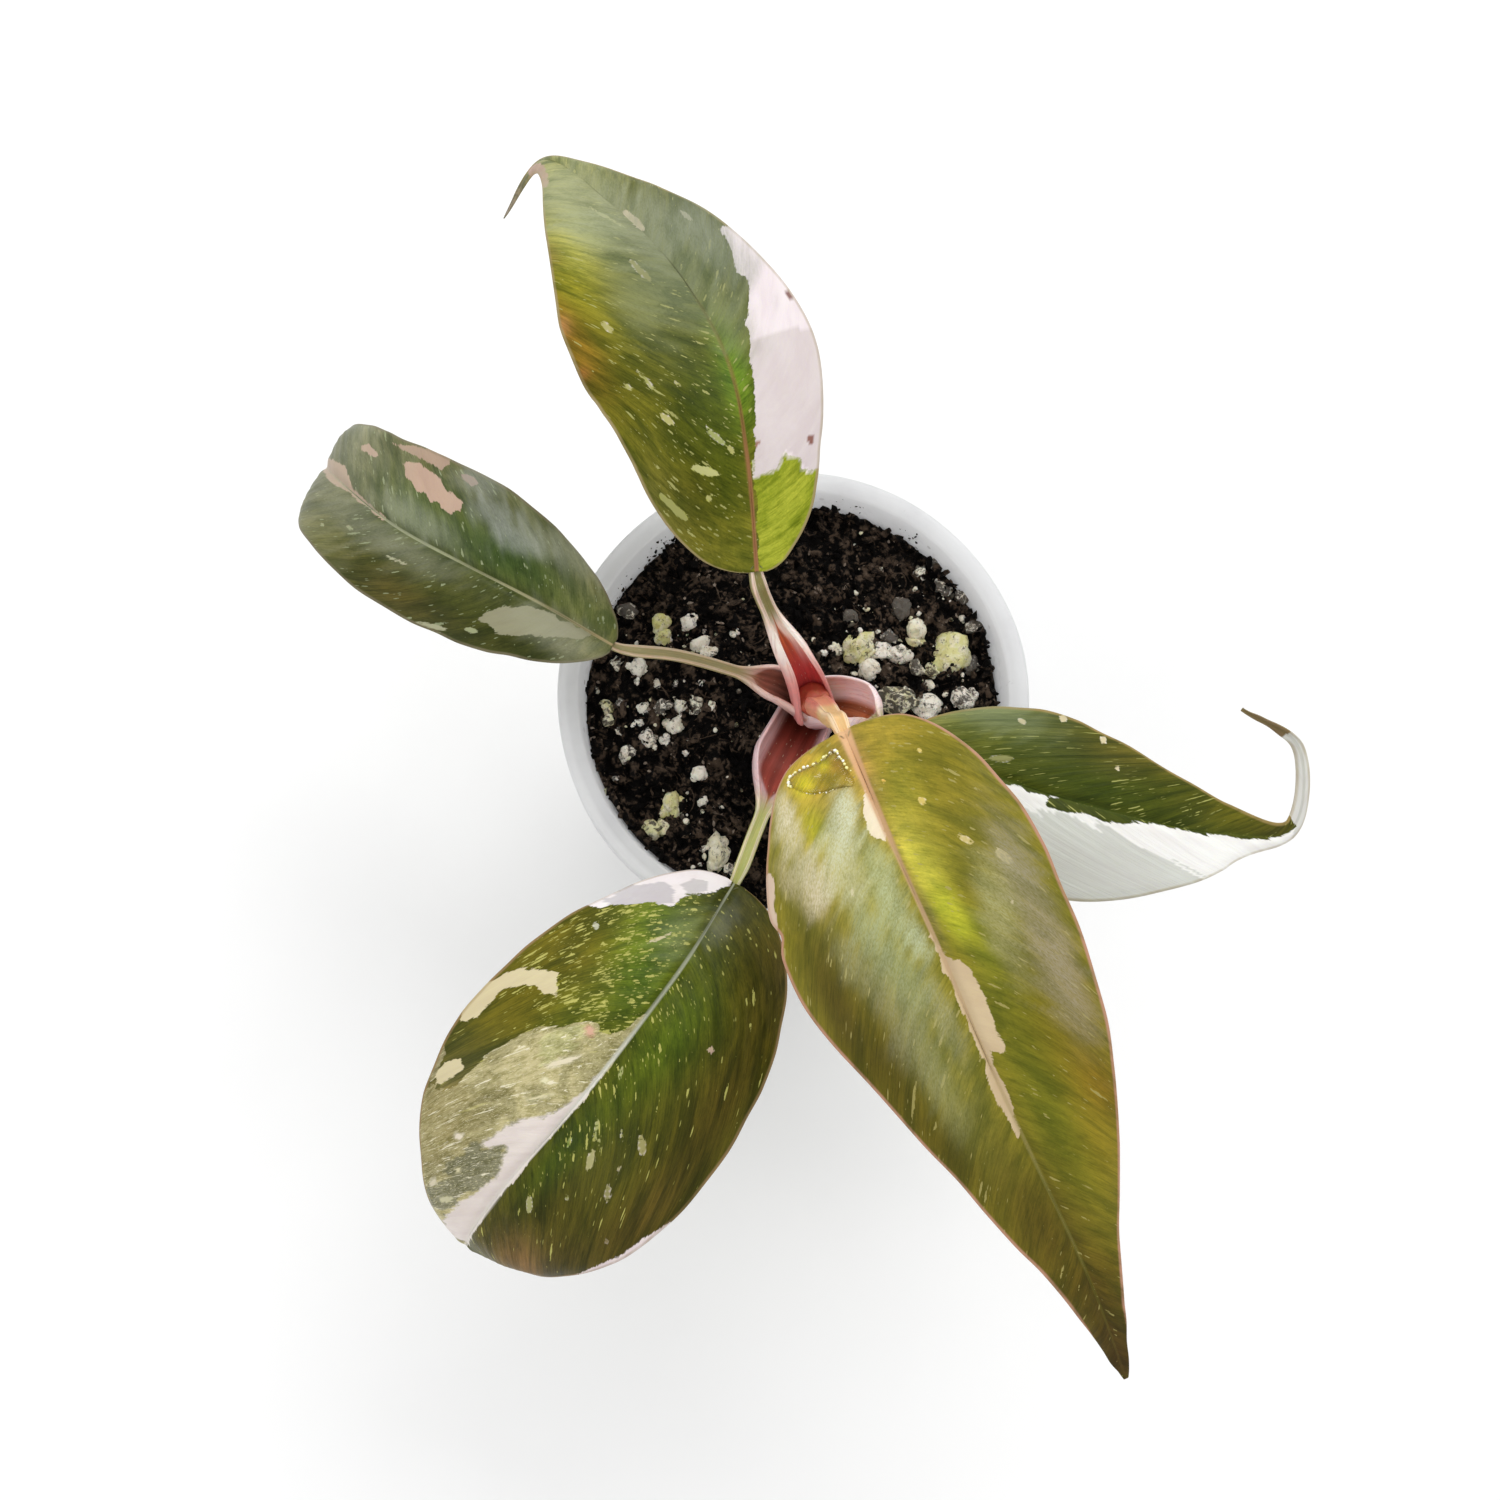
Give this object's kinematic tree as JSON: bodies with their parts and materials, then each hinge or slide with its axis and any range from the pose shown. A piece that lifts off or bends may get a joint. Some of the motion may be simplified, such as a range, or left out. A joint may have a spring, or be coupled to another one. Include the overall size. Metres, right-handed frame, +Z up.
{
  "type": "potted variegated philodendron",
  "caption": "Young climbing aroid with variegated, drip-tipped leaves on winged petioles, rooted in potting mix in a small frosted nursery pot.",
  "frame": {"origin": "centre of the flat underside of the pot", "axes": "+Z up along the pot's axis; +Y away from a viewer who looks down on the plant, along its longest reach; +X to that viewer's right"},
  "size_m": [0.1571, 0.1821, 0.1196],
  "materials": {
    "pot_plastic": "frosted translucent, satin",
    "potting_mix": "damp peat and bark, matt",
    "perlite": "porous, matt",
    "root": "matt",
    "stem": "waxy, satin",
    "petiole": "waxy, satin",
    "leaf": "waxy, semi-gloss"
  },
  "bodies": {
    "root": {"pot": "pot_plastic", "soil": "potting_mix", "roots": "root", "stem": "stem", "petiole_front": "petiole", "petiole_top": "petiole", "petiole_right": "petiole", "petiole_left": "petiole", "petiole_lower_left": "petiole", "blade_front": "leaf", "blade_top": "leaf", "blade_right": "leaf", "blade_left": "leaf", "blade_lower_left": "leaf"}
  },
  "joints": []
}
